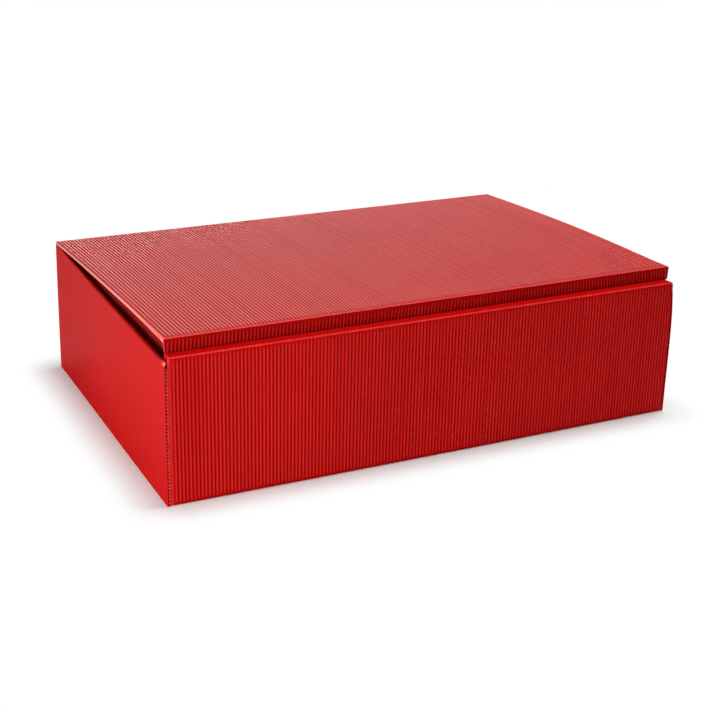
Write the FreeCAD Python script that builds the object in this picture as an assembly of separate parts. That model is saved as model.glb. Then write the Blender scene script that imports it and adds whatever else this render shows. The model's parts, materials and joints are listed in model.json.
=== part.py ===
import FreeCAD
import Part
import math
import os

os.makedirs("parts", exist_ok=True)

# Driving sizes of the closed box, in millimetres
BOX_W = 372.0  # across the front, outside
BOX_D = 251.0  # front to back, outside
FRONT_H = 97.0  # top of the hollow front wall
SIDE_H = 95.2  # top of the rolled side walls
BACK_H = 99.2  # top of the lid at its back crease
LID_RISE = 7.8  # how much higher the lid's front edge rests than its back crease
SHELF_D = 10.0  # depth of the hollow front wall, front face to inner face

# The board: one smooth liner with an open wave on its outer face
LINER_T = 0.35
BOARD_T = 1.2  # liner and wave together
CORE_T = 0.6  # liner and the foot of the wave, which is also a crease's thickness
FLUTES_ACROSS = 155  # waves across the whole width
FLUTE_PITCH = BOX_W / FLUTES_ACROSS
FLUTE_RISE = BOARD_T - CORE_T
FLUTE_FOOT = 0.05  # valley of the wave above the creased board
CREST_W = 0.62  # flat crest of a wave
WAVE_T = 0.25  # paper of the wave
CRUSH_L = 1.4  # length over which a wave is crushed beside a crease
FOLD_R = 0.4  # inside radius of a fold
ROLL_R = 0.75  # inside radius at the rolled top of a side wall

# Layers and clearances
PLY_PLAY = 0.1  # between the layers of a side wall
SHEET_PLAY = 0.3  # between a sheet's cut end and the sheet it stands on
LID_PLAY = 0.4  # between the lid's flaps and the walls they slide past
HINGE_PLAY = 0.3  # between the back wall's top and the crease's round edge

# Flaps and cut ends
DUST_FLAP_L = 62.0  # folded back between the side wall's layers
DUST_FLAP_DROP = 4.0  # its top below the side wall's roll
FLAP_TAPER = 8.0  # how much a flap's free end is cut back over its height
CORNER_RELIEF = 1.1  # notch at the bottom corners, where three folds meet
SHELF_END = 2.9  # the front crease ends this far inside the box's side
SHELF_TAPER = 1.4  # the shelf's back edge is this much shorter at each end
LIP_H = 36.0  # tuck-in lip at the lid's front
LIP_LEAN = 9.0  # degrees that the lip leans back under the lid
LIP_CORNER_R = 9.0  # rounded lower corners of the lip
LID_SET_BACK = 8.6  # lid's front edge behind the front wall's face
LID_INSET = 2.2  # lid's side edge inside the box's side
LID_FLAP_H = 28.0  # side flaps under the lid
LID_FLAP_LEAN = 14.0  # degrees that they lean in under the lid
LID_FLAP_START = 9.0  # flap's back end in front of the hinge
LID_FLAP_END = 2.0  # flap's front end behind the lip
LID_BEVEL_H = 1.7  # height of the double crease along the lid's sides
EDGE_R = 0.2  # inside radius of the sharp fold at the lid's side edges
LIP_SHOULDER = 9.0  # the lip reaches its narrow width this far below the lid

# Levels and faces worked out from the sizes above
X_SIDE = BOX_W / 2
Y_FACE = BOX_D / 2
WALL_T = 2 * BOARD_T + CORE_T + 2 * PLY_PLAY  # a side wall: two layers and a flap
X_INNER = X_SIDE - WALL_T  # inner face of a side wall
X_FLAP = X_SIDE - BOARD_T - PLY_PLAY - CORE_T  # inner face of a dust flap
X_STRIP = X_INNER - FOLD_R  # the base is flat to here, then folds up
Y_SHELF_BACK = -Y_FACE + SHELF_D  # crests of the hollow wall's inner layer
Y_LID_FRONT = -Y_FACE + LID_SET_BACK
Z_HINGE = BACK_H - BOARD_T + CORE_T / 2
Z_BACK_TOP = Z_HINGE - CORE_T / 2 - HINGE_PLAY  # cut top of the back wall, under the hinge
Y_HINGE = Y_FACE - BOARD_T + CORE_T / 2
LID_ANGLE = math.degrees(math.asin(LID_RISE / (Y_HINGE - Y_LID_FRONT)))
LID_L = math.hypot(Y_HINGE - Y_LID_FRONT, LID_RISE)  # hinge to the lid's front edge
LIP_TILT = math.radians(LIP_LEAN + LID_ANGLE)  # from square to the lid
X_LID_FLAT = X_SIDE - LID_INSET - 1.5 * CORE_T  # the lid is flat to here, then folds down
Y_LIP_LINER = BOARD_T - LID_L  # with the hinge's axis at zero
Z_LINER = -CORE_T / 2

UP = FreeCAD.Vector(0, 0, 1)
ALONG_X = FreeCAD.Vector(1, 0, 0)
ALONG_Y = FreeCAD.Vector(0, 1, 0)


def in_yz(a, b):
    return FreeCAD.Vector(0, a, b)


def in_xz(a, b):
    return FreeCAD.Vector(a, 0, b)


def in_xy(a, b):
    return FreeCAD.Vector(a, b, 0)


def bend(before, corner, after, radius, board):
    """Tangent and middle points of one fold, on the liner's face and on the wave's side.

    radius is the fold's inside radius, and board the creased thickness, laid on the path's left.
    """
    d1 = (corner - before).normalize()
    d2 = (after - corner).normalize()
    turn = math.atan2(d1.x * d2.y - d1.y * d2.x, d1.x * d2.x + d1.y * d2.y)
    side = 1 if turn > 0 else -1
    liner_r = radius + board if side > 0 else radius
    run = liner_r * math.tan(abs(turn) / 2)
    start = corner - d1 * run
    end = corner + d2 * run
    left = FreeCAD.Vector(-d1.y, d1.x, 0)
    centre = start + left * (side * liner_r)
    spoke = (corner - centre).normalize()
    wave_r = liner_r - side * board
    left_after = FreeCAD.Vector(-d2.y, d2.x, 0)
    liner = (start, centre + spoke * liner_r, end)
    wave = (start + left * board, centre + spoke * wave_r, end + left_after * board)
    return liner, wave


def sheet_section(path, radii, to_space, round_end=False, board=CORE_T):
    """Closed section of a folded sheet. path runs along the liner's face, with the board on its left.

    round_end gives the path's last end a full round.
    """
    points = [FreeCAD.Vector(a, b, 0) for a, b in path]
    folds = []
    for i in range(1, len(points) - 1):
        folds.append(bend(points[i - 1], points[i], points[i + 1], radii[i - 1], board))
    first = (points[1] - points[0]).normalize()
    last = (points[-1] - points[-2]).normalize()
    first_left = FreeCAD.Vector(-first.y, first.x, 0) * board
    last_left = FreeCAD.Vector(-last.y, last.x, 0) * board

    def space(p):
        return to_space(p.x, p.y)

    edges = []
    here = points[0]
    for liner, _ in folds:
        edges.append(Part.LineSegment(space(here), space(liner[0])))
        edges.append(Part.Arc(*[space(p) for p in liner]))
        here = liner[2]
    edges.append(Part.LineSegment(space(here), space(points[-1])))
    tip = points[-1] + last_left
    if round_end:
        nose = points[-1] + last_left / 2 + last * (board / 2)
        edges.append(Part.Arc(space(points[-1]), space(nose), space(tip)))
    else:
        edges.append(Part.LineSegment(space(points[-1]), space(tip)))
    here = tip
    for _, wave in reversed(folds):
        edges.append(Part.LineSegment(space(here), space(wave[2])))
        edges.append(Part.Arc(*[space(p) for p in reversed(wave)]))
        here = wave[0]
    root = points[0] + first_left
    edges.append(Part.LineSegment(space(here), space(root)))
    edges.append(Part.LineSegment(space(root), space(points[0])))
    return Part.Face(Part.Wire([e.toShape() for e in edges]))


def spread(section, direction, start, end):
    """A section drawn at zero, extruded between two places along its own normal."""
    moved = section.copy()
    moved.translate(direction * start)
    return moved.extrude(direction * (end - start))


def prism(outline, to_space, direction, start, end):
    """A straight-sided outline, extruded between two places."""
    corners = [to_space(a, b) for a, b in outline]
    return spread(Part.Face(Part.makePolygon(corners + corners[:1])), direction, start, end)


def wave_outline(count, crest):
    """Points of a row of waves, centred on zero, from one end to the other."""
    flank = (FLUTE_PITCH - crest) / 2
    left = -count * FLUTE_PITCH / 2
    points = [(left, 0), (left, FLUTE_FOOT)]
    for i in range(count):
        at = left + i * FLUTE_PITCH
        points.append((at + flank, FLUTE_RISE))
        if crest > 0:
            points.append((at + flank + crest, FLUTE_RISE))
        points.append((at + FLUTE_PITCH, FLUTE_FOOT))
    points.append((left + count * FLUTE_PITCH, 0))
    return points


def flutes(count, length, crest=0.0, crushed=True):
    """A panel's waves, lying along Y from zero, on top of Z zero. Their ends slope down to the creases."""
    row = prism(wave_outline(count, crest), in_xz, ALONG_Y, 0, length)
    if not crushed:
        return row
    slope = [(0, 0), (CRUSH_L, FLUTE_RISE), (length - CRUSH_L, FLUTE_RISE), (length, 0)]
    return row.common(prism(slope, in_yz, ALONG_X, -X_SIDE, X_SIDE))


def flute_cells(count, length):
    """The open tunnels between the liner and the waves, as tools to cut with."""
    half = FLUTE_PITCH / 2 - WAVE_T
    top = FLUTE_RISE - WAVE_T
    bottom = LINER_T - CORE_T
    cells = []
    for i in range(count):
        at = (i + 0.5 - count / 2) * FLUTE_PITCH
        outline = [(at - half, bottom), (at, top), (at + half, bottom)]
        cells.append(prism(outline, in_xz, ALONG_Y, 0, length))
    return cells


def place(shape, across, along, out, origin):
    """Lays a panel's shape into the box: its X, Y and Z become the three directions given."""
    m = FreeCAD.Matrix()
    m.A11, m.A21, m.A31 = across
    m.A12, m.A22, m.A32 = along
    m.A13, m.A23, m.A33 = out
    m.A14, m.A24, m.A34 = origin
    placed = shape.copy()
    placed.Placement = FreeCAD.Placement(m)
    return placed


def mirrored(shape, across=ALONG_X):
    """The shape's other hand, on the other side of the middle."""
    return shape.mirror(FreeCAD.Vector(0, 0, 0), across)


def count_for(width):
    """How many whole waves fit a width, as an odd number, so that one crest lies on the middle."""
    whole = int(width / FLUTE_PITCH)
    return whole - 1 + whole % 2


def main_strip():
    """Back wall, base, front wall, shelf and inner front layer: one run of board folded four times."""
    liner_back = Y_FACE - BOARD_T
    shelf_liner = FRONT_H - CORE_T
    inner_liner = Y_SHELF_BACK - BOARD_T
    path = [
        (liner_back, Z_BACK_TOP),
        (liner_back, BOARD_T),
        (-liner_back, BOARD_T),
        (-liner_back, shelf_liner),
        (inner_liner, shelf_liner),
        (inner_liner, BOARD_T + SHEET_PLAY),
    ]
    return sheet_section(path, [FOLD_R] * 4, in_yz)


def shelf_with_ends():
    """The shelf and its front crease, a little wider than the strip below, with tapered ends."""
    front = X_SIDE - SHELF_END
    back = front - SHELF_TAPER
    plan = [
        (-front, -Y_FACE),
        (front, -Y_FACE),
        (back, Y_SHELF_BACK),
        (-back, Y_SHELF_BACK),
    ]
    bottom = FRONT_H - CORE_T - FOLD_R
    tapered = prism(plan, in_xy, UP, bottom, FRONT_H)
    return spread(main_strip(), ALONG_X, -front, front).common(tapered)


def dust_flap(top):
    """The front wall's left edge, up to top, and its flap folded in between the side wall's layers."""
    wall_liner = -Y_FACE + BOARD_T
    wall_wave = wall_liner - CORE_T
    x_out = -(X_FLAP + CORE_T)
    flap_end = wall_liner + DUST_FLAP_L
    low = CORNER_RELIEF
    high = SIDE_H - DUST_FLAP_DROP
    path = [(-X_STRIP, wall_liner), (-X_FLAP, wall_liner), (-X_FLAP, flap_end)]
    sheet = spread(sheet_section(path, [FOLD_R], in_xy), UP, low, top)
    fold_end = wall_liner + FOLD_R + CORE_T
    outline = [
        (wall_wave, low),
        (flap_end, low + FLAP_TAPER),
        (flap_end, high - FLAP_TAPER),
        (fold_end, high),
        (fold_end, top),
        (wall_wave, top),
    ]
    return sheet.common(prism(outline, in_yz, ALONG_X, x_out, -X_STRIP))


def side_wall():
    """The left side: inner layer, roll outwards over the top and outer layer, with its open wave ends."""
    low = SHEET_PLAY
    path = [
        (-X_STRIP + FLUTE_PITCH, BOARD_T),
        (-X_INNER, BOARD_T),
        (-X_INNER, SIDE_H),
        (-X_SIDE, SIDE_H),
        (-X_SIDE, low),
    ]
    section = sheet_section(path, [FOLD_R, ROLL_R, ROLL_R], in_xz)
    inner_y = Y_FACE - BOARD_T - SHEET_PLAY
    layers = spread(section, ALONG_Y, -inner_y, inner_y)

    # The outer layer is longer and runs to the front wall's face
    ends_y = Y_FACE - PLY_PLAY
    skin = Part.makeBox(CORE_T, 2 * ends_y, SIDE_H - low - CORE_T - ROLL_R)
    skin.translate(FreeCAD.Vector(-X_SIDE, -ends_y, low))
    count = int((SIDE_H - low - CORE_T - ROLL_R) / FLUTE_PITCH)
    middle = low + count * FLUTE_PITCH / 2
    spot = FreeCAD.Vector(-X_SIDE + CORE_T, ends_y, middle)
    turned = (UP, -ALONG_Y, ALONG_X, spot)
    wave = place(flutes(count, 2 * ends_y, crushed=False), *turned)
    wall = layers.fuse([skin, wave])
    return wall.cut([place(c, *turned) for c in flute_cells(count, 2 * ends_y)])


def outer_flutes():
    """Waves on the front wall, its inner layer, the base and the back wall."""
    count = count_for(2 * X_STRIP)
    fold = FOLD_R + CORE_T
    low = BOARD_T + FOLD_R
    front_l = FRONT_H - fold - low
    inner_l = FRONT_H - fold - BOARD_T - SHEET_PLAY
    back_l = Z_BACK_TOP - low
    base_l = 2 * (Y_FACE - BOARD_T - FOLD_R)
    skin = Y_FACE - FLUTE_RISE
    base_z = BOARD_T - CORE_T
    inner_y = Y_SHELF_BACK - FLUTE_RISE
    front = place(flutes(count, front_l, CREST_W), ALONG_X, UP, -ALONG_Y, in_yz(-skin, low))
    back = place(flutes(count, back_l), -ALONG_X, UP, ALONG_Y, in_yz(skin, low))
    inner = place(
        flutes(count, inner_l), -ALONG_X, UP, ALONG_Y, in_yz(inner_y, BOARD_T + SHEET_PLAY)
    )
    base = place(
        flutes(count, base_l, CREST_W), ALONG_X, -ALONG_Y, -UP, in_yz(base_l / 2, base_z)
    )
    return [front, back, inner, base]


def folded_body():
    """The open-topped box, as one folded sheet."""
    strip = spread(main_strip(), ALONG_X, -X_STRIP, X_STRIP)
    pieces = [shelf_with_ends()]
    front_edge = FRONT_H - CORE_T - FOLD_R
    left = [side_wall(), dust_flap(front_edge), mirrored(dust_flap(Z_BACK_TOP), ALONG_Y)]
    for piece in left:
        pieces += [piece, mirrored(piece)]
    return strip.fuse(pieces + outer_flutes()).removeSplitter()


def lid_top():
    """The lid's flat top and its lip, drawn level, with the hinge's axis at zero and the front at minus Y."""
    bottom_y = Y_LIP_LINER + LIP_H * math.sin(LIP_TILT)
    bottom_z = Z_LINER - LIP_H * math.cos(LIP_TILT)
    path = [(bottom_y, bottom_z), (Y_LIP_LINER, Z_LINER), (0, Z_LINER)]
    section = sheet_section(path, [FOLD_R], in_yz, round_end=True)
    sheet = spread(section, ALONG_X, -X_LID_FLAT, X_LID_FLAT)
    fold = FOLD_R + CORE_T
    count = count_for(2 * X_LID_FLAT)
    top_l = LID_L - BOARD_T - FOLD_R - fold
    top_at = in_yz(-LID_L + BOARD_T + FOLD_R, -Z_LINER)
    top_waves = place(flutes(count, top_l, CREST_W), ALONG_X, ALONG_Y, UP, top_at)

    up_lip = FreeCAD.Vector(0, -math.sin(LIP_TILT), math.cos(LIP_TILT))
    outward = ALONG_X.cross(up_lip)
    lip_at = in_yz(bottom_y, bottom_z) + outward * CORE_T
    lip_waves = place(flutes(count, LIP_H - fold), ALONG_X, up_lip, outward, lip_at)
    return sheet.fuse([top_waves, lip_waves]).common(lip_outline(bottom_z))


def lip_outline(bottom):
    """The lid and lip seen from the front: narrower where the lip slides between the side walls."""
    narrow = X_INNER - LID_PLAY
    shoulder = -LIP_SHOULDER
    level = bottom - CORE_T
    r = LIP_CORNER_R
    nook = r * (1 - math.sqrt(0.5))
    corners = [
        (-X_LID_FLAT, BOARD_T),
        (-X_LID_FLAT, -BOARD_T),
        (-narrow, shoulder),
        (-narrow, level + r),
    ]
    edges = []
    for side in (1, -1):
        points = [in_xz(side * a, b) for a, b in corners]
        edges += [Part.LineSegment(p, q) for p, q in zip(points, points[1:])]
        arc = [(-narrow, level + r), (nook - narrow, level + nook), (r - narrow, level)]
        edges.append(Part.Arc(*[in_xz(side * a, b) for a, b in arc]))
    edges.append(Part.LineSegment(in_xz(r - narrow, level), in_xz(narrow - r, level)))
    edges.append(Part.LineSegment(in_xz(-X_LID_FLAT, BOARD_T), in_xz(X_LID_FLAT, BOARD_T)))
    wire = Part.Wire(Part.__sortEdges__([e.toShape() for e in edges]))
    return spread(Part.Face(wire), ALONG_Y, -2 * LID_L, LID_L)


def lid_side():
    """The lid's left edge: a double crease, and the side flap, which leans in and has open wave ends."""
    x_liner = X_INNER - LID_PLAY - BOARD_T
    x_edge = X_SIDE - LID_INSET - CORE_T / 2
    crease_z = Z_LINER - LID_BEVEL_H
    lean = math.radians(LID_FLAP_LEAN)
    up_flap = FreeCAD.Vector(-math.sin(lean), 0, math.cos(lean))
    outward = up_flap.cross(ALONG_Y)
    bottom = in_xz(-x_liner, crease_z) - up_flap * LID_FLAP_H
    path = [
        (bottom.x, bottom.z),
        (-x_liner, crease_z),
        (-x_edge, Z_LINER),
        (-X_LID_FLAT + FLUTE_PITCH, Z_LINER),
    ]
    section = sheet_section(path, [FOLD_R, EDGE_R], in_xz)
    sheet = spread(section, ALONG_Y, -LID_L, 0)
    count = int((LID_FLAP_H - FOLD_R) / FLUTE_PITCH)
    middle = bottom + up_flap * (count * FLUTE_PITCH / 2)
    turned = (up_flap, ALONG_Y, outward, middle + outward * CORE_T - ALONG_Y * LID_L)
    waves = place(flutes(count, LID_L, crushed=False), *turned)
    board = sheet.fuse(waves).cut([place(c, *turned) for c in flute_cells(count, LID_L)])

    # Seen from the side, the flap is cut back at both ends and its corners slope
    edge_front = -LID_L + BOARD_T + FOLD_R
    edge_back = -BOARD_T - FOLD_R - LID_PLAY
    flap_front = edge_front + LID_FLAP_END
    low = bottom.z - BOARD_T
    slope = (crease_z - low) * math.tan(LIP_TILT)
    outline = [
        (edge_front, BOARD_T),
        (edge_front, crease_z),
        (flap_front, crease_z - LID_FLAP_END),
        (flap_front + slope, low),
        (-LID_FLAP_START - FLAP_TAPER, low),
        (-LID_FLAP_START, crease_z - LID_FLAP_END),
        (edge_back, Z_LINER),
        (edge_back, BOARD_T),
    ]
    return board.common(prism(outline, in_yz, ALONG_X, -X_SIDE, 0))


def lid():
    """The hinged lid, turned up to the angle at which it rests."""
    left = lid_side()
    level = lid_top().fuse([left, mirrored(left)]).removeSplitter()
    level.rotate(FreeCAD.Vector(0, 0, 0), ALONG_X, -LID_ANGLE)
    level.translate(in_yz(Y_HINGE, Z_HINGE))
    return level


for name, shape in (("box_body", folded_body()), ("hinged_lid", lid())):
    shape.exportStep("parts/" + name + ".step")
    print(name, len(shape.Solids), shape.isValid(), len(shape.Faces), shape.BoundBox)
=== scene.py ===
import bpy
import json
import math
import numpy as np
from mathutils import Matrix, Vector


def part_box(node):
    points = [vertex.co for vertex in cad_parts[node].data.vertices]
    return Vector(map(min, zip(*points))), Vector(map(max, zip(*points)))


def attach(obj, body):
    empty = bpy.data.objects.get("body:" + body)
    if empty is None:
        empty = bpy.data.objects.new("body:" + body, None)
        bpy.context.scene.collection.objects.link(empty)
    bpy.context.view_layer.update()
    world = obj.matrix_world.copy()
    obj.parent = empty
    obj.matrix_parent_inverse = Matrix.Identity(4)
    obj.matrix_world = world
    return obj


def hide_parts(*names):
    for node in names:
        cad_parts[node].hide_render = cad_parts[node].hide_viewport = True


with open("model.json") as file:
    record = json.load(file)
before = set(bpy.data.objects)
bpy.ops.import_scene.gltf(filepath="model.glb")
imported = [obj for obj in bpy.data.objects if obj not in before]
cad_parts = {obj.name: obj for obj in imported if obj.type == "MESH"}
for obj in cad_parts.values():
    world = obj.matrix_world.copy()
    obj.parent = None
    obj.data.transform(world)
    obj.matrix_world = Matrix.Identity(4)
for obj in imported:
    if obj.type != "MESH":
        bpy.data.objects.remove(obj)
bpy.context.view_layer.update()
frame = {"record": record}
MM = 0.001

# Main sizes in millimetres, the outer ones read from the solids
X_SIDE, Y_FACE, BACK_TOP = np.array(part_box("box_body")[1]) / MM
hinge_at = np.array(frame["record"]["behaviour"]["joints"][0]["pos_m"]) / MM
FRONT_H = 97.0
SIDE_H = 95.2
SHELF_D = 10.0
SHELF_END = 2.6  # the shelf ends this far inside the box's side
SHELF_TAPER = 1.3  # its back edge is this much shorter at each end
LID_SET_BACK = 8.6  # the lid's front edge behind the front wall's face
LID_RISE = 7.8  # the lid's front edge above its back crease

# The board
BOARD_T = 1.2
CORE_T = 0.6  # liner and the foot of the wave, which is also a crease's thickness
LINER_T = 0.35
WAVE_T = 0.45  # the wave's paper where its open ends show
FLUTES_ACROSS = 155  # waves that would fill the whole width
FLUTE_PITCH = 2 * X_SIDE / FLUTES_ACROSS
FLUTE_RISE = BOARD_T - CORE_T
FLUTE_FOOT = 0.04  # a flute's valley above the creased board
FOLD_R = 0.4
ROLL_R = 0.5
EDGE_R = 0.3
WALL_T = 3.2  # a side wall with all its layers
EDGE_T = 2.05  # the side wall's smooth outer layer with its wave
X_INNER = X_SIDE - WALL_T
X_STRIP = X_INNER - FOLD_R
STRIP_OVER = 0.3  # the strips' ends reach this far into the side walls' folds
PLY_PLAY = 0.15  # between a strip's end and the side wall's edge
END_ROUND = 0.6  # an upright strip's end rounds in by this much
BASE_JOIN = 9.0  # the front and back strips meet on the base this far behind the front
CORNER_FLAP_L = 62.0

# The lid and its flaps
LID_PLAY = 0.4
LID_CREASE_IN = 4.0  # the lid is flat to this far inside the box's side
LID_EDGE_IN = 3.2  # the liner's place at the lid's outermost crease
LID_BEVEL_H = 2.0  # drop of the narrow strip between the two creases
LID_TUCK = 6.5  # length of the flap that bends in over the side wall's roll
LID_TUCK_LEAN = math.radians(60)
LID_FLAP_H = 28.0
LID_FLAP_LEAN = math.radians(5)
LIP_H = 36.0
LIP_LEAN = math.radians(9.0)
LIP_CORNER_R = 9.0
LIP_SHOULDER = 9.2  # the lip narrows this far below the lid
LID_REACH = hinge_at[1] + Y_FACE - LID_SET_BACK
LID_ANGLE = math.asin(LID_RISE / LID_REACH)
LID_L = math.hypot(LID_REACH, LID_RISE)
LIP_TILT = LIP_LEAN + LID_ANGLE
X_LID_CREASE = X_SIDE - LID_CREASE_IN
X_LID_EDGE = X_SIDE - LID_EDGE_IN

# How the used box has relaxed
FRONT_BOW = 0.7  # the front wall's ends lie back by this much
LEFT_LEAN = 0.4  # how far the side walls' tops lean in
RIGHT_LEAN = 3.1
SHELF_SPREAD = 3.0  # the shelf's right end stays out over the leaning wall
SIDE_FLARE = 1.3  # the side walls' front ends stand out by this much
BACK_LEAN = 1.0  # how much more the left wall's top leans in behind
LID_CROWN = 1.2  # the lid bulges between hinge and front
LID_CROWN_RIGHT = 0.5  # and by this much more at its right edge
LID_SPREAD = 1.4  # how much wider the lid is at the hinge than at the front
LID_SHIFT = 1.8  # how far the lid's right edge stands out toward the front
LIP_SPREAD = 0.22  # how fast the lip's right end widens below the lid
SIDE_ZONE = 12.0  # depth at each side over which a wall's lean and dip fade
SIDE_DIP_AT = (-Y_FACE, -115, -60, 0, 60, 90, Y_FACE)
SIDE_DIP = (1.4, 1.8, 1.4, 1.4, 0.7, -0.1, -1.3)  # how far the side walls' tops lie low there

# Mesh density
SEGMENTS = 8  # across one flute
PLAIN_SEGMENTS = 6  # across a flute of the base, the back and the lid's side flaps
FLUTES = 151  # whole waves between the folds
END_POINTS = 6  # across a strip's rounded end
INNER_POINTS = 41  # across a strip's smooth face
ROW_STEP = 12.0  # between rows on a flat run
CREASE_ROWS = (0.0, 0.3, 0.7, 1.2, 1.9, 2.8, 4.2)  # rows beside a crease
CRUSH = 2.4  # length over which a wave is crushed beside a crease

rng = np.random.default_rng(11)


def smooth(t):
    t = np.clip(t, 0, 1)
    return t * t * (3 - 2 * t)


# Rows along a folded sheet

def runs_of(path, radii):
    """Straight runs and folds of a path: points on the liner and their normals, with a crease weight."""
    points = [np.array(p, float) for p in path]
    rows = []
    start = points[0]
    for i in range(1, len(points)):
        d1 = points[i] - points[i - 1]
        d1 /= np.linalg.norm(d1)
        left = np.array([-d1[1], d1[0]])
        if i == len(points) - 1:
            rows += run_rows(start, points[i], left)
            break
        d2 = points[i + 1] - points[i]
        d2 /= np.linalg.norm(d2)
        turn = math.atan2(d1[0] * d2[1] - d1[1] * d2[0], d1 @ d2)
        side = 1 if turn > 0 else -1
        radius = radii[i - 1] + (CORE_T if side > 0 else 0)
        back = radius * math.tan(abs(turn) / 2)
        end = points[i] - d1 * back
        rows += run_rows(start, end, left)
        centre = end + left * side * radius
        steps = max(4, round(abs(turn) / 0.3))
        for k in range(1, steps):
            a = turn * k / steps
            normal = np.array([
                left[0] * math.cos(a) - left[1] * math.sin(a),
                left[0] * math.sin(a) + left[1] * math.cos(a),
            ])
            rows.append((centre - normal * side * radius, normal, 0.0, i))
        start = points[i] + d2 * back
    return rows


def run_rows(start, end, normal):
    """Rows of one flat run, closer together beside its creases."""
    length = float(np.linalg.norm(end - start))
    near = [d for d in CREASE_ROWS if d < length / 2 - 0.2]
    inner = max(1, round((length - 2 * near[-1]) / ROW_STEP))
    middle = [near[-1] + (length - 2 * near[-1]) * k / inner for k in range(1, inner)]
    places = near + middle + [length - d for d in reversed(near)]
    rows = []
    for d in places:
        full = smooth(min(d, length - d) / CRUSH)
        rows.append((start + (end - start) * d / length, normal, float(full), None))
    return rows


# Columns across the flutes

def flute_columns(count, segments):
    """Places across a row of flutes and the wave's height at each, slightly uneven as pressed paper is."""
    xs, hs = [], []
    left = -count * FLUTE_PITCH / 2
    shift = rng.normal(0, 0.05, count + 1)
    tall = 1 - np.abs(rng.normal(0, 0.06, count))
    for i in range(count):
        a = left + i * FLUTE_PITCH + shift[i]
        b = left + (i + 1) * FLUTE_PITCH + shift[i + 1]
        for k in range(segments):
            t = k / segments
            xs.append(a + (b - a) * t)
            hs.append(tall[i] * (0.5 - 0.5 * math.cos(2 * math.pi * t)) ** 0.75)
    xs.append(left + count * FLUTE_PITCH + shift[count])
    hs.append(0.0)
    return np.array(xs), np.array(hs)


# Building meshes

def grid_faces(rows, columns, start=0, flip=False):
    i, j = np.meshgrid(np.arange(rows - 1), np.arange(columns - 1), indexing="ij")
    a = start + i * columns + j
    quads = np.stack([a, a + 1, a + columns + 1, a + columns], -1).reshape(-1, 4)
    return quads[:, ::-1] if flip else quads


def sheet_mesh(outer, inner):
    """A thin closed sheet from two grids with the same rows. The grids may differ in columns."""
    rows, oc = outer.shape[:2]
    ic = inner.shape[1]
    base = rows * oc
    points = np.concatenate([outer.reshape(-1, 3), inner.reshape(-1, 3)])
    faces = [tuple(q) for q in grid_faces(rows, oc).tolist()]
    faces += [tuple(q) for q in grid_faces(rows, ic, base, True).tolist()]
    for i in range(rows - 1):
        a, b = i * oc, (i + 1) * oc
        c, d = base + i * ic, base + (i + 1) * ic
        faces.append((a, b, d, c))
        faces.append((a + oc - 1, c + ic - 1, d + ic - 1, b + oc - 1))
    for i in (0, rows - 1):
        near = [i * oc + j for j in range(oc)]
        far = [base + i * ic + j for j in range(ic)]
        ring = near[::-1] + far if i == 0 else near + far[::-1]
        faces.append(tuple(ring))
    return points, faces


def painted(outer, inner, crest=0.5, pale=0.0, cut=0.0):
    """A closed sheet and its colour values. crest is 1 on a flute's top, which gets a painted highlight,
    and 0 in a valley and in shaded places, which get painted shade.

    pale is 1 on worn paper and on painted highlights, and cut is its value along the sheet's cut ends.
    """
    points, faces = sheet_mesh(outer, inner)
    crests = np.full(outer.shape[:2], 0.5)
    crests[:] = crest
    pales = np.zeros(outer.shape[:2])
    pales[:] = pale
    inner_pales = np.zeros(inner.shape[:2])
    ends = np.broadcast_to(cut, len(outer))
    for values in (pales, inner_pales):
        values[:, 0] = np.maximum(values[:, 0], ends)
        values[:, -1] = np.maximum(values[:, -1], ends)
    flat = np.full(inner.shape[0] * inner.shape[1], 0.5)
    crests = np.concatenate([crests.ravel(), flat])
    return points, faces, crests, np.concatenate([pales.ravel(), inner_pales.ravel()])


def make_piece(name, parts, warp, material, body):
    """One object from several closed sheets."""
    faces = []
    start = 0
    for part in parts:
        faces += [tuple(v + start for v in f) for f in part[1]]
        start += len(part[0])
    cloud = warp(np.concatenate([part[0] for part in parts])) * MM
    mesh = bpy.data.meshes.new(name)
    mesh.from_pydata(cloud.tolist(), [], faces)
    mesh.update()
    for k, value in ((2, "crest"), (3, "pale")):
        layer = mesh.attributes.new(value, "FLOAT", "POINT")
        layer.data.foreach_set("value", np.concatenate([part[k] for part in parts]).astype(np.float32))
    mesh.shade_smooth()
    mesh.set_sharp_from_angle(angle=math.radians(38))
    piece = bpy.data.objects.new(name, mesh)
    bpy.context.scene.collection.objects.link(piece)
    mesh.materials.append(material)
    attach(piece, body)
    return piece


def near_sides(p):
    """1 at the box's sides, and 0 further in."""
    return smooth((np.abs(p[:, 0]) - X_SIDE + SIDE_ZONE) / SIDE_ZONE)


def body_warp(p):
    """The relaxed shape of the box: the front bows and the side walls lean."""
    q = p.copy()
    x = p[:, 0] / X_SIDE
    y = p[:, 1]
    high = np.clip(p[:, 2] / FRONT_H, 0, 1)
    behind = smooth((y + Y_FACE) / (2 * Y_FACE))
    near_front = smooth((-y - Y_FACE + 30) / 30)
    q[:, 1] += FRONT_BOW * x**2 * near_front
    left = LEFT_LEAN * high**3 + behind * (SIDE_FLARE + BACK_LEAN * high)
    right = RIGHT_LEAN * high**6 + behind * SIDE_FLARE * (1 - high)
    q[:, 0] -= np.sign(x) * near_sides(p) * np.where(x > 0, right, left)
    return q


def side_warp(p):
    """The side walls' shape: their tops dip toward the front."""
    q = body_warp(p)
    high = np.clip(p[:, 2] / FRONT_H, 0, 1)
    dip = np.interp(p[:, 1], SIDE_DIP_AT, SIDE_DIP)
    q[:, 2] -= dip * smooth((high - 0.5) * 2) * near_sides(p)
    return q


def front_warp(p):
    """The front wall's shape, with the right end of its shelf standing out."""
    q = body_warp(p)
    spread = SHELF_SPREAD * smooth((p[:, 2] - 86) / 8) * (p[:, 1] < -Y_FACE + SHELF_D + 1)
    q[:, 0] += spread * near_sides(p) * (p[:, 0] > 0)
    return q


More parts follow.
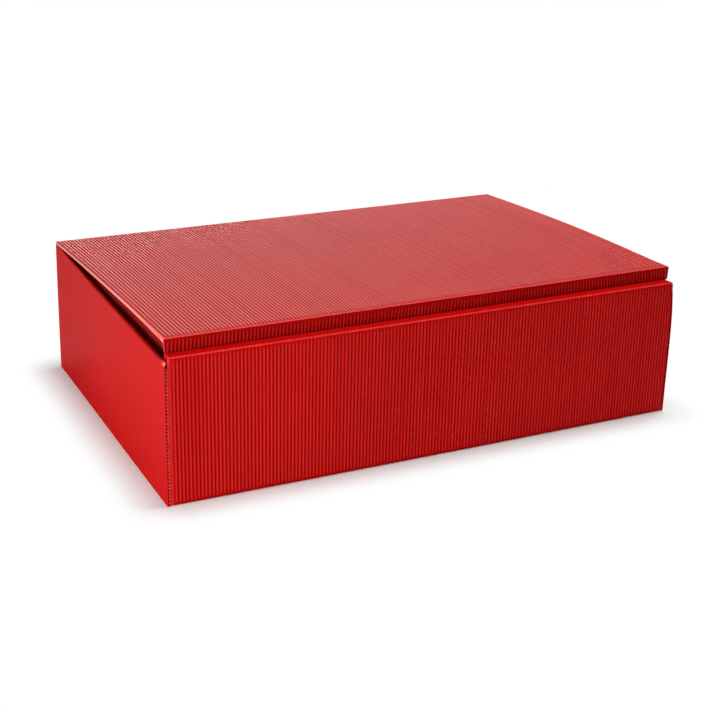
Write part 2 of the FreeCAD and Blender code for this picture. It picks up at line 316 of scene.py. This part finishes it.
def lid_place(p):
    """From the level lid, with its hinge at zero, to where it rests.

    It is crowned between hinge and front. Its right edge stands out, apart from the hidden parts of the
    lip and the side flap, which stay inside the walls.
    """
    q = p.copy()
    t = np.clip(-p[:, 1] / (0.93 * LID_L), 0, 1)
    out = np.clip(-p[:, 1] / LID_L, 0, 1)
    at_right = np.clip(p[:, 0] / X_SIDE, 0, 1)
    in_lip = p[:, 1] < -LID_L + 5
    q[:, 2] += (LID_CROWN + LID_CROWN_RIGHT * at_right**2) * 4 * t * (1 - t)
    q[:, 0] *= 1 + LID_SPREAD / X_SIDE * (1 - out)
    seen = np.where(in_lip, smooth((p[:, 2] + 12) / 2), smooth((p[:, 2] + 5) / 2.5))
    shift = LID_SHIFT * smooth(out / 0.6) + LIP_SPREAD * in_lip * np.clip(-p[:, 2], 0, 9)
    q[:, 0] += shift * at_right * seen
    c, s = math.cos(LID_ANGLE), math.sin(LID_ANGLE)
    y = q[:, 1] * c + q[:, 2] * s
    z = -q[:, 1] * s + q[:, 2] * c
    q[:, 1] = y + hinge_at[1]
    q[:, 2] = z + hinge_at[2]
    return q


# Sheets whose flutes run along the path

def strip_sheet(rows, row_end, columns, heights, worn_and_lit=None, cut=0.7, filled=-math.inf):
    """A folded strip lying across X. row_end gives each row's half width and how far its end rounds in.

    The dictionary of fold values gives the painted highlight along each fold, by its number along the
    path, and cut the paleness of the cut ends.
    Below the height filled, the paper bends flat over the flutes' ends, and where it bends most it gets
    painted shade.
    """
    turns = np.linspace(0, math.pi / 2, END_POINTS)
    rise = FLUTE_RISE - FLUTE_FOOT
    outer, inner, crests, pales, cuts = [], [], [], [], []
    coarse = np.linspace(-1, 1, INNER_POINTS)
    for at, normal, full, fold in rows:
        half, drop = row_end(at, normal)
        swell = 0.8 * (1 - full) if at[1] < filled and at[0] < -Y_FACE + 6 else 0.0
        lift = CORE_T + FLUTE_FOOT + (full * heights + swell) * rise
        ends_x = half - drop + drop * np.sin(turns)
        if drop == 0:
            inmost = min(columns[-1], half - 0.1)
            ends_x = inmost + (half - inmost) * np.linspace(0.15, 1, END_POINTS)
        ends_lift = CORE_T + swell * rise - drop * (1 - np.cos(turns))
        xs = np.concatenate([-ends_x[::-1], np.clip(columns, -half + 0.1, half - 0.1), ends_x])
        lift = np.concatenate([ends_lift[::-1], lift, ends_lift])
        # Painted shade along the bottom fold
        crest = (0.5 + (heights - 0.5) * full) * (0.2 if swell > 0.7 else 1.0)
        outer.append(np.stack([xs, at[0] + normal[0] * lift, at[1] + normal[1] * lift], 1))
        end_crest = np.full(END_POINTS, 0.5)
        crests.append(np.concatenate([end_crest, crest, end_crest]))
        # Painted highlight along the fold, broken where the flutes end, and on an upright strip's rounded
        # end
        fold_highlight = (worn_and_lit or {}).get(fold, 0.0)
        end_highlight = np.full(END_POINTS, max(fold_highlight, 0.4 if drop > 0 else 0.0))
        pales.append(np.concatenate([end_highlight, fold_highlight * (0.5 + 0.5 * heights), end_highlight]))
        cuts.append(0.0 if drop > 0 else cut)
        low = np.where(np.abs(coarse) > 0.999, -drop * 0.6, 0.0)
        inner.append(np.stack([coarse * half, at[0] + normal[0] * low, at[1] + normal[1] * low], 1))
    return painted(np.array(outer), np.array(inner), np.array(crests), np.array(pales), np.array(cuts))


def front_strip():
    """The front wall with its bottom fold, its top crease, the shelf and the inner layer."""
    inner_liner = -Y_FACE + SHELF_D - BOARD_T
    shelf_liner = FRONT_H - CORE_T
    path = [
        (-Y_FACE + BASE_JOIN, BOARD_T),
        (-Y_FACE + BOARD_T, BOARD_T),
        (-Y_FACE + BOARD_T, shelf_liner),
        (inner_liner, shelf_liner),
        (inner_liner, BOARD_T + 0.3),
    ]
    rows = []
    for row in runs_of(path, [FOLD_R] * 3):
        at, normal, full, fold = row
        if normal[1] > 0.9:
            full = 0.0
        rows.append((at, normal, full, fold))

    def row_end(at, normal):
        if normal[0] > 0.9:
            return X_INNER - 0.1, 0.0
        if normal[1] > 0.5:
            back = (at[0] + Y_FACE) / SHELF_D
            return X_SIDE - SHELF_END - SHELF_TAPER * back, 0.0
        if normal[0] < -0.9:
            return X_SIDE - EDGE_T - PLY_PLAY, END_ROUND
        if normal[0] < -0.3:
            return X_SIDE - EDGE_T - PLY_PLAY, 0.0
        return X_STRIP + STRIP_OVER, 0.0

    xs, hs = flute_columns(FLUTES, SEGMENTS)
    # A painted highlight along the top crease
    return strip_sheet(rows, row_end, xs, hs, worn_and_lit={2: 0.5}, cut=0.45, filled=4.5)


def back_strip():
    """The base and the back wall."""
    path = [
        (Y_FACE - BOARD_T, BACK_TOP),
        (Y_FACE - BOARD_T, BOARD_T),
        (-Y_FACE + BASE_JOIN, BOARD_T),
    ]

    def row_end(at, normal):
        if normal[0] > 0.5 and at[1] > 1.3:
            return X_SIDE - EDGE_T - PLY_PLAY, END_ROUND
        return X_STRIP + STRIP_OVER, 0.0

    xs, hs = flute_columns(FLUTES, PLAIN_SEGMENTS)
    return strip_sheet(runs_of(path, [FOLD_R]), row_end, xs, hs)


def along_sheet(rows, row_ends, lifts, crest=0.5, pale=0.0, cut=0.6, count=36):
    """A folded sheet lying along Y, whose rows each have their own ends, thickness and colour values."""
    outer, inner = [], []
    steps = np.concatenate([[0.0], np.linspace(0.002, 0.998, count - 2), [1.0]])
    for (at, normal, _, _), (low, high), lift in zip(rows, row_ends, lifts):
        ys = low + (high - low) * steps
        outer.append(np.stack([np.full(count, at[0] + normal[0] * lift), ys,
                               np.full(count, at[1] + normal[1] * lift)], 1))
        inner.append(np.stack([np.full(count, at[0]), ys, np.full(count, at[1])], 1))
    crests = np.broadcast_to(crest, len(rows))[:, None]
    pales = np.broadcast_to(pale, len(rows))[:, None]
    return painted(np.array(outer), np.array(inner), crests, pales, cut)


def side_sheet(worn_and_lit):
    """The left wall's foot on the base, inner layer, roll over the top and smooth outer layer.

    Its argument is 1 on the lit side, which is knocked at its front corner and gets a painted highlight
    along its cut ends.
    """
    foot = BOARD_T + CORE_T + 0.02
    path = [
        (-X_STRIP + 4, foot),
        (-X_INNER, foot),
        (-X_INNER, SIDE_H),
        (-X_SIDE, SIDE_H),
        (-X_SIDE, 0.3),
    ]
    rows = runs_of(path, [FOLD_R, ROLL_R, ROLL_R])
    ends, lifts, crests, pales = [], [], [], []
    for at, normal, _, fold in rows:
        outer = smooth((-at[0] - X_INNER - 1.0) / 1.6)
        reach = Y_FACE - 1.5 + 1.4 * outer
        ends.append((-reach, reach))
        thin = normal[0] > 0.9 and at[0] < -X_SIDE + 0.5
        lifts.append(LINER_T if thin else CORE_T)
        # Painted shade along the outer layer's bottom edge
        crests.append(0.1 if thin and at[1] < 0.9 else 0.5)
        # Painted highlights along the roll's two creases
        pales.append({2: 0.4, 3: 0.5}.get(fold, 0.0))
    # The lit side's cut ends get a faint painted highlight
    sheet = along_sheet(rows, ends, lifts, crests, pales, 0.12 * worn_and_lit)
    knock = np.linalg.norm(sheet[0] - np.array([-X_SIDE, -Y_FACE + 0.9, SIDE_H - 0.4]), axis=1)
    return sheet[:3] + (np.maximum(sheet[3], worn_and_lit * np.exp(-((knock / 1.7) ** 2))),)


def open_wave(worn_and_lit):
    """The wave behind the side wall's smooth face, whose open ends show at the cut edge. It takes the
    darkest colour all over, painted shade in the cut edge's recess, and on the lit side its cut ends get a
    painted highlight.
    """
    waves, low = 38, 0.5
    steps = waves * SEGMENTS
    zs = low + np.arange(steps + 1) * FLUTE_PITCH / SEGMENTS
    phase = np.arange(steps + 1) * 2 * math.pi / SEGMENTS
    deep = EDGE_T - LINER_T - WAVE_T
    out = -X_SIDE + LINER_T + deep * (0.5 - 0.5 * np.cos(phase))
    reach = Y_FACE - 0.1
    ys = np.concatenate([[-reach], np.linspace(-reach + 0.6, reach - 0.6, 6), [reach]])
    outer = np.stack([np.stack([np.full(8, x), ys, np.full(8, z)], 1) for x, z in zip(out, zs)])
    inner = outer.copy()
    inner[:, :, 0] = -X_SIDE + EDGE_T
    return painted(outer, inner, 0.0, 0.0, 0.45 * worn_and_lit)


def corner_flaps():
    """The front and back walls' flaps, folded in between the side wall's layers."""
    flaps = []
    low, high, board = 1.3, 91.0, 0.3
    for toward in (1, -1):
        ys = toward * (-Y_FACE + BOARD_T + np.linspace(0.5, CORNER_FLAP_L, 8))
        rows = [low + (high - low) * k / 5 for k in range(6)]
        grid = np.array([[(-X_SIDE + EDGE_T + 0.2, y, z) for y in ys] for z in rows])
        flaps.append(painted(grid, grid + np.array([board, 0, 0])))
    return flaps


def mirrored(parts):
    """The other hand of a set of closed meshes."""
    flipped = []
    for part in parts:
        points = part[0] * np.array([-1, 1, 1])
        flipped.append((points, [tuple(reversed(f)) for f in part[1]]) + tuple(part[2:]))
    return flipped


# The lid's sheets, drawn level with the hinge's axis at zero

def lid_strips():
    """The lid's top, and its lip, which is as wide as the lid down to the shelf."""
    half_core = CORE_T / 2
    liner_y = BOARD_T - LID_L
    bottom = (liner_y + LIP_H * math.sin(LIP_TILT), -half_core - LIP_H * math.cos(LIP_TILT))
    path = [bottom, (liner_y, -half_core), (0, -half_core)]
    rows = runs_of(path, [FOLD_R])
    lip = [r for r in rows if r[1][0] < -0.9]
    rows = rows[len(lip) - 1:]
    along = (np.array(bottom) - np.array(path[1])) / LIP_H
    for down in (7.0, LIP_SHOULDER, 9.9, 10.6, 11.5):
        lip.append((np.array(path[1]) + along * down, lip[0][1], 1.0, None))
    lip.sort(key=lambda r: r[0][1])

    # The lid's edge rolls over the hinge's axis
    for k in range(1, 5):
        a = k * math.pi / 8
        normal = np.array([math.sin(a), math.cos(a)])
        rows.append((np.array([0.0, 0.0]) - normal * half_core, normal, 0.0, None))

    def row_end(at, normal):
        if normal[0] < -0.5:
            down = -at[1]
            narrow = X_INNER - RIGHT_LEAN - LID_PLAY
            wide = X_LID_EDGE + 0.3 - 0.12 * min(down, 9.0)
            half = wide + (narrow - wide) * float(smooth((down - LIP_SHOULDER) / 1.3))
            rest = LIP_H * math.cos(LIP_TILT) - down
            if rest < LIP_CORNER_R:
                half -= LIP_CORNER_R - math.sqrt(max(LIP_CORNER_R**2 - (LIP_CORNER_R - rest) ** 2, 0))
            return half, 0.0
        return X_LID_CREASE + 0.2, 0.0

    xs, hs = flute_columns(FLUTES, SEGMENTS)
    # A painted highlight along the lid's front fold
    return strip_sheet(rows, row_end, xs, hs, {1: 0.5}), strip_sheet(lip, row_end, xs, hs)


def lid_side_sheet(worn_and_lit):
    """The lid's left edge: a narrow strip between two creases, then the flap, bent in past the roll. The
    strip gets a painted highlight on the lit side, fading toward the front, and painted shade on the other
    side, and the flap's colour is darkened with painted shade.
    """
    z_liner = -CORE_T / 2
    top = np.array([-X_LID_CREASE, z_liner])
    edge = np.array([-X_LID_EDGE, z_liner - LID_BEVEL_H])
    tuck = edge + LID_TUCK * np.array([math.sin(LID_TUCK_LEAN), -math.cos(LID_TUCK_LEAN)])
    hang_l = LID_FLAP_H - LID_TUCK
    upward = np.array([-math.sin(LID_FLAP_LEAN), math.cos(LID_FLAP_LEAN)])
    low = tuck - hang_l * upward
    rows = runs_of([low, tuck, edge, top, top + np.array([3.2, 0])], [FOLD_R, FOLD_R, EDGE_R])
    count = int((hang_l - 1.5) / FLUTE_PITCH)
    outward = np.array([-upward[1], upward[0]])
    fine = []
    for k in range(count * PLAIN_SEGMENTS + 1):
        fine.append((low + upward * (k * FLUTE_PITCH / PLAIN_SEGMENTS), outward, 1.0, None))
    above = fine[-1][0][1] + 0.2
    rest = [r for r in rows if r[0][1] > above]

    front, back = -LID_L + BOARD_T + FOLD_R, -2.0
    ends, lifts, crests, pales = [], [], [], []
    for at, _, _, _ in fine + rest:
        down = edge[1] - at[1]
        if down > 0:
            a = front + 2.0 * float(smooth(down / 5)) + down * math.tan(LIP_TILT)
            b = back - 3.0 * float(smooth(down / 5)) - 12.0 * max(0, (down - 5) / 23)
        else:
            a, b = front - 0.4, back
        ends.append((a, b))
        # Painted highlight on the strip between the creases, on the lit side
        on_strip = at[1] > edge[1] - 0.3 and at[0] < top[0] + 0.3
        pales.append(0.95 * worn_and_lit if on_strip else 0.0)
    # The flap's crest values are halved, and its bent-in part and the other side's strip get none: painted
    # shade under the lid's edge
    for k in range(len(fine)):
        height = 0.5 - 0.5 * math.cos(2 * math.pi * k / PLAIN_SEGMENTS)
        lifts.append(CORE_T + FLUTE_RISE * height)
        crests.append(0.5 * height)
    for at, _, _, _ in rest:
        lifts.append(CORE_T if at[0] < top[0] + 0.5 else CORE_T - 0.15)
        crests.append(0.5 if at[1] > edge[1] - 0.3 and worn_and_lit else 0.0)
    sheet = along_sheet(fine + rest, ends, lifts, crests, pales, 0.7, 60)

    # The strip is pressed narrower toward the hinge
    points = sheet[0]
    below = np.clip((z_liner - points[:, 2]) / LID_BEVEL_H, 0, 1)
    out = np.clip(-points[:, 1] / LID_L, 0, 1)
    pressed = (0.88 - 0.2 * out - 0.6 * out**8) * below
    points[:, 2] += LID_BEVEL_H * pressed
    points[:, 0] += (LID_CREASE_IN - LID_EDGE_IN) * pressed
    knock = np.linalg.norm(points - np.array([-X_LID_EDGE, front, z_liner - 1.0]), axis=1)
    # The painted highlight fades toward the front
    cuts_and_highlight = sheet[3].copy()
    cuts_and_highlight[:len(out)] *= 1 - 0.4 * out**4
    return sheet[:3] + (np.maximum(cuts_and_highlight, worn_and_lit * np.exp(-((knock / 1.5) ** 2))),)


# Materials

def ramp(nodes, stops):
    """A colour ramp through the stops given, each a place and a colour."""
    node = nodes.new("ShaderNodeValToRGB")
    elements = node.color_ramp.elements
    for element, (at, colour) in zip(elements, stops):
        element.position = at
        element.color = tuple(colour) + (1,)
    return node


def mapped(nodes, links, value, low, high, start=0.0, end=1.0):
    """A value taken from one range to another."""
    node = nodes.new("ShaderNodeMapRange")
    node.inputs["From Min"].default_value = start
    node.inputs["From Max"].default_value = end
    node.inputs["To Min"].default_value = low
    node.inputs["To Max"].default_value = high
    links.new(value, node.inputs["Value"])
    return node.outputs["Result"]


def point_value(nodes, name):
    node = nodes.new("ShaderNodeAttribute")
    node.attribute_name = name
    return node.outputs["Fac"]


def noise(nodes, links, place, scale, detail):
    node = nodes.new("ShaderNodeTexNoise")
    node.inputs["Scale"].default_value = scale
    node.inputs["Detail"].default_value = detail
    links.new(place, node.inputs["Vector"])
    return node.outputs["Fac"]


def vector_math(nodes, links, operation, value, other=None):
    node = nodes.new("ShaderNodeVectorMath")
    node.operation = operation
    links.new(value, node.inputs[0])
    if other is not None:
        node.inputs[1].default_value = other
    return node.outputs["Vector"]


def dyed_board(name, valley, slope, crest, gloss, ior, grain=0.08):
    """Red dyed paper: cloudy colour, fine fibres, painted shade in the valleys, a painted highlight on the
    glossy crests, painted highlights on folds, and pale cut ends.

    valley, slope and crest are the colours up one flute: valley holds painted shade and crest a painted
    highlight. gloss is its roughness below and on top.
    """
    material = bpy.data.materials.new(name)
    material.use_nodes = True
    nodes, links = material.node_tree.nodes, material.node_tree.links
    shader = nodes["Principled BSDF"]
    shader.inputs["IOR"].default_value = ior
    place = nodes.new("ShaderNodeTexCoord").outputs["Object"]
    wave = point_value(nodes, "crest")
    pale = point_value(nodes, "pale")

    tint = ramp(nodes, [(0.0, valley), (1.0, crest)])
    middle = tint.color_ramp.elements.new(0.5)
    middle.color = tuple(slope) + (1,)
    links.new(wave, tint.inputs["Fac"])
    scaled = nodes.new("ShaderNodeVectorMath")
    scaled.operation = "SCALE"
    links.new(tint.outputs["Color"], scaled.inputs[0])
    cloud = noise(nodes, links, place, 14, 5)
    links.new(mapped(nodes, links, cloud, 0.95, 1.04, 0.3, 0.7), scaled.inputs["Scale"])

    # Low pale values give the painted highlight's bright red, on folds and lit cut ends; high ones give
    # the paper's pale inside, on cut ends and knocks, and also paint the lid bevel's highlight. All are
    # broken up along their length
    wear_and_highlight = nodes.new("ShaderNodeMath")
    wear_and_highlight.operation = "MULTIPLY"
    links.new(pale, wear_and_highlight.inputs[0])
    broken = noise(nodes, links, place, 420, 2)
    links.new(mapped(nodes, links, broken, 0.62, 1.0, 0.35, 0.6), wear_and_highlight.inputs[1])
    highlight_to_bare = ramp(nodes, [(0.45, HIGHLIGHT_RED), (0.9, PALE)])
    links.new(pale, highlight_to_bare.inputs["Fac"])
    worn_and_lit = nodes.new("ShaderNodeMix")
    worn_and_lit.data_type = "RGBA"
    links.new(mapped(nodes, links, wear_and_highlight.outputs["Value"], 0.0, 1.0, 0.0, 0.55), worn_and_lit.inputs["Factor"])
    links.new(highlight_to_bare.outputs["Color"], worn_and_lit.inputs["B"])
    links.new(scaled.outputs["Vector"], worn_and_lit.inputs["A"])
    links.new(worn_and_lit.outputs["Result"], shader.inputs["Base Color"])
    links.new(mapped(nodes, links, wave, *gloss), shader.inputs["Roughness"])

    bump = nodes.new("ShaderNodeBump")
    bump.inputs["Strength"].default_value = grain
    bump.inputs["Distance"].default_value = 0.0003
    links.new(noise(nodes, links, place, 700, 3), bump.inputs["Height"])
    links.new(bump.outputs["Normal"], shader.inputs["Normal"])
    return material


# The paper's pale inside at cut ends and knocks, also used for the painted highlight on the lid's bevel
# strip
PALE = (0.95, 0.4, 0.35)
# The painted highlight's colour on folds and lit cut ends
HIGHLIGHT_RED = (1.0, 0.05, 0.05)
RED = (0.62, 0.002, 0.0015)
# Painted shade, in the side walls' recesses and along their bottom edges
SHADE_RED = (0.2, 0, 0)
# In each board the valley colour is painted shade in the flutes and the crest colour a painted highlight
front_red = dyed_board(
    "front_red", (0.43, 0, 0), (0.55, 0.0005, 0.0005), (0.68, 0.03, 0.026), (0.75, 0.5), 1.13
)
lid_red = dyed_board(
    "lid_red", (0.34, 0, 0), (0.6, 0.004, 0.003), (0.9, 0.06, 0.05), (0.95, 0.4), 1.5, 0.04
)
# A darker copy of the lid's board for its side flaps: painted shade under the lid's edge
shaded_flap_red = dyed_board(
    "shaded_flap_red", (0.22, 0, 0), (0.5, 0.003, 0.003), (0.8, 0.05, 0.045), (0.9, 0.5), 1.3
)
# A darker copy of the front's board for the lid's lip: painted shade under the lid
shaded_lip_red = dyed_board(
    "shaded_lip_red", (0.26, 0, 0), (0.42, 0.001, 0.001), (0.58, 0.02, 0.018), (0.7, 0.5), 1.12
)
smooth_red = dyed_board("smooth_red", SHADE_RED, RED, RED, (0.5, 0.5), 1.15)

# The left side is the lit one: its flag turns on the painted highlights there, and the knock at its front
# corner
left_side = [side_sheet(1), open_wave(1)] + corner_flaps()
right_side = mirrored([side_sheet(0), open_wave(0)] + corner_flaps())
body_pieces = [
    make_piece("front_strip", [front_strip()], front_warp, front_red, "body"),
    make_piece("back_strip", [back_strip()], body_warp, front_red, "body"),
    make_piece("left_side", left_side, side_warp, smooth_red, "body"),
    make_piece("right_side", right_side, side_warp, smooth_red, "body"),
]
lid_top, lid_lip = lid_strips()
lid_pieces = [
    make_piece("lid_top", [lid_top], lid_place, lid_red, "lid"),
    make_piece("lid_lip", [lid_lip], lid_place, shaded_lip_red, "lid"),
    make_piece("lid_left", [lid_side_sheet(1)], lid_place, shaded_flap_red, "lid"),
    make_piece("lid_right", mirrored([lid_side_sheet(0)]), lid_place, shaded_flap_red, "lid"),
]
for piece in body_pieces:
    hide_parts("box_body")
for piece in lid_pieces:
    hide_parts("hinged_lid")


# Floor, world and lamps

def pale_floor():
    """A pale floor. The camera sees it as white, with the object's shadow on it near the box."""
    mesh = bpy.data.meshes.new("floor")
    r = 6.0
    mesh.from_pydata([(-r, -r, 0), (r, -r, 0), (r, r, 0), (-r, r, 0)], [], [(0, 1, 2, 3)])
    floor = bpy.data.objects.new("floor", mesh)
    bpy.context.scene.collection.objects.link(floor)
    material = bpy.data.materials.new("floor_white")
    material.use_nodes = True
    nodes, links = material.node_tree.nodes, material.node_tree.links
    shader = nodes["Principled BSDF"]
    shader.inputs["Base Color"].default_value = (0.85, 0.85, 0.85, 1)
    shader.inputs["Roughness"].default_value = 0.9

    shadowed = nodes.new("ShaderNodeBsdfDiffuse")
    shadowed.inputs["Color"].default_value = (0.86, 0.9, 0.9, 1)
    glow = nodes.new("ShaderNodeEmission")
    near = nodes.new("ShaderNodeAddShader")
    links.new(shadowed.outputs["BSDF"], near.inputs[0])
    links.new(glow.outputs["Emission"], near.inputs[1])
    white = nodes.new("ShaderNodeEmission")
    place = nodes.new("ShaderNodeTexCoord")
    spot = nodes.new("ShaderNodeSeparateXYZ")
    links.new(place.outputs["Object"], spot.inputs["Vector"])
    # The glow is stronger beside the box's left side than in front of it: painted light that lightens the
    # shadow there
    links.new(mapped(nodes, links, spot.outputs["X"], 0.28, 0.1, -0.195, -0.175), glow.inputs["Strength"])
    beside = vector_math(nodes, links, "ABSOLUTE", place.outputs["Object"])
    beside = vector_math(nodes, links, "SUBTRACT", beside, (X_SIDE * MM, Y_FACE * MM, 0))
    beside = vector_math(nodes, links, "MAXIMUM", beside, (0, 0, 0))
    reach = nodes.new("ShaderNodeVectorMath")
    reach.operation = "LENGTH"
    links.new(beside, reach.inputs[0])
    far = nodes.new("ShaderNodeMapRange")
    far.interpolation_type = "SMOOTHSTEP"
    far.inputs["From Min"].default_value = 0.0
    far.inputs["From Max"].default_value = 0.03
    links.new(reach.outputs["Value"], far.inputs["Value"])
    looks = nodes.new("ShaderNodeMixShader")
    links.new(far.outputs["Result"], looks.inputs["Fac"])
    links.new(near.outputs["Shader"], looks.inputs[1])
    links.new(white.outputs["Emission"], looks.inputs[2])

    path = nodes.new("ShaderNodeLightPath")
    seen = nodes.new("ShaderNodeMixShader")
    links.new(path.outputs["Is Camera Ray"], seen.inputs["Fac"])
    links.new(shader.outputs["BSDF"], seen.inputs[1])
    links.new(looks.outputs["Shader"], seen.inputs[2])
    links.new(seen.outputs["Shader"], nodes["Material Output"].inputs["Surface"])
    mesh.materials.append(material)
    return floor


def area_lamp(name, place, target, size, power):
    data = bpy.data.lights.new(name, "AREA")
    data.shape = "RECTANGLE"
    data.size, data.size_y = size
    data.energy = power
    lamp = bpy.data.objects.new(name, data)
    lamp.location = place
    aim = Vector(target) - Vector(place)
    lamp.rotation_euler = aim.to_track_quat("-Z", "Y").to_euler()
    bpy.context.scene.collection.objects.link(lamp)
    return lamp


def white_world(ambient, backdrop):
    """Plain ambient light, a white backdrop behind the box for gloss, and white for the camera."""
    world = bpy.data.worlds.new("studio")
    bpy.context.scene.world = world
    world.use_nodes = True
    nodes, links = world.node_tree.nodes, world.node_tree.links
    back = nodes["Background"]
    back.inputs["Color"].default_value = (1, 1, 1, 1)
    path = nodes.new("ShaderNodeLightPath")

    place = nodes.new("ShaderNodeTexCoord")
    toward = nodes.new("ShaderNodeVectorMath")
    toward.operation = "DOT_PRODUCT"
    toward.inputs[1].default_value = (-0.15, 0.99, 0.0)
    links.new(place.outputs["Generated"], toward.inputs[0])
    behind = nodes.new("ShaderNodeMapRange")
    behind.interpolation_type = "SMOOTHSTEP"
    behind.inputs["From Min"].default_value = 0.1
    behind.inputs["From Max"].default_value = 0.95
    behind.inputs["To Min"].default_value = ambient
    behind.inputs["To Max"].default_value = backdrop
    links.new(toward.outputs["Value"], behind.inputs["Value"])
    axes = nodes.new("ShaderNodeSeparateXYZ")
    links.new(place.outputs["Generated"], axes.inputs["Vector"])
    low_down = nodes.new("ShaderNodeMath")
    low_down.operation = "MULTIPLY"
    links.new(behind.outputs["Result"], low_down.inputs[0])
    links.new(mapped(nodes, links, axes.outputs["Z"], 1.0, 0.1, 0.23, 0.34), low_down.inputs[1])

    glossy = nodes.new("ShaderNodeMix")
    glossy.inputs["A"].default_value = ambient
    links.new(path.outputs["Is Glossy Ray"], glossy.inputs["Factor"])
    links.new(low_down.outputs["Value"], glossy.inputs["B"])
    seen = nodes.new("ShaderNodeMath")
    seen.operation = "MAXIMUM"
    links.new(path.outputs["Is Camera Ray"], seen.inputs[0])
    links.new(path.outputs["Is Transmission Ray"], seen.inputs[1])
    strength = nodes.new("ShaderNodeMix")
    strength.inputs["B"].default_value = 1.0
    links.new(seen.outputs["Value"], strength.inputs["Factor"])
    links.new(glossy.outputs["Result"], strength.inputs["A"])
    links.new(strength.outputs["Result"], back.inputs["Strength"])


pale_floor()
white_world(0.08, 2.7)
area_lamp("overhead", (0.45, -0.05, 1.5), (0, 0, 0.05), (0.7, 0.7), 16.6)
area_lamp("left_panel", (-0.8, -0.5, 0.2), (-0.1, -0.1, 0.05), (0.5, 0.35), 5.3)
area_lamp("back_panel", (0.5, 1.5, 0.38), (0, 0, 0.1), (1.7, 0.5), 5.1)


# Camera

CAMERA_AT = (-0.42627, -0.85754, 0.39964)
CAMERA_YAW, CAMERA_PITCH, CAMERA_ROLL = [math.radians(a) for a in (26.41, 21.23, 1.24)]
FOCAL_PX = 1408.4
PICTURE_PX = 707

camera_data = bpy.data.cameras.new("camera")
camera_data.sensor_width = 36
camera_data.lens = FOCAL_PX * 36 / PICTURE_PX
camera = bpy.data.objects.new("camera", camera_data)
ahead = Vector((
    math.sin(CAMERA_YAW) * math.cos(CAMERA_PITCH),
    math.cos(CAMERA_YAW) * math.cos(CAMERA_PITCH),
    -math.sin(CAMERA_PITCH),
))
right = Vector((math.cos(CAMERA_YAW), -math.sin(CAMERA_YAW), 0))
up = right.cross(ahead)
turned_right = right * math.cos(CAMERA_ROLL) + up * math.sin(CAMERA_ROLL)
turned_up = up * math.cos(CAMERA_ROLL) - right * math.sin(CAMERA_ROLL)
axes = Matrix((turned_right, turned_up, -ahead)).transposed().to_4x4()
camera.matrix_world = Matrix.Translation(CAMERA_AT) @ axes
bpy.context.scene.collection.objects.link(camera)
bpy.context.scene.camera = camera
bpy.context.scene.view_settings.view_transform = "Standard"
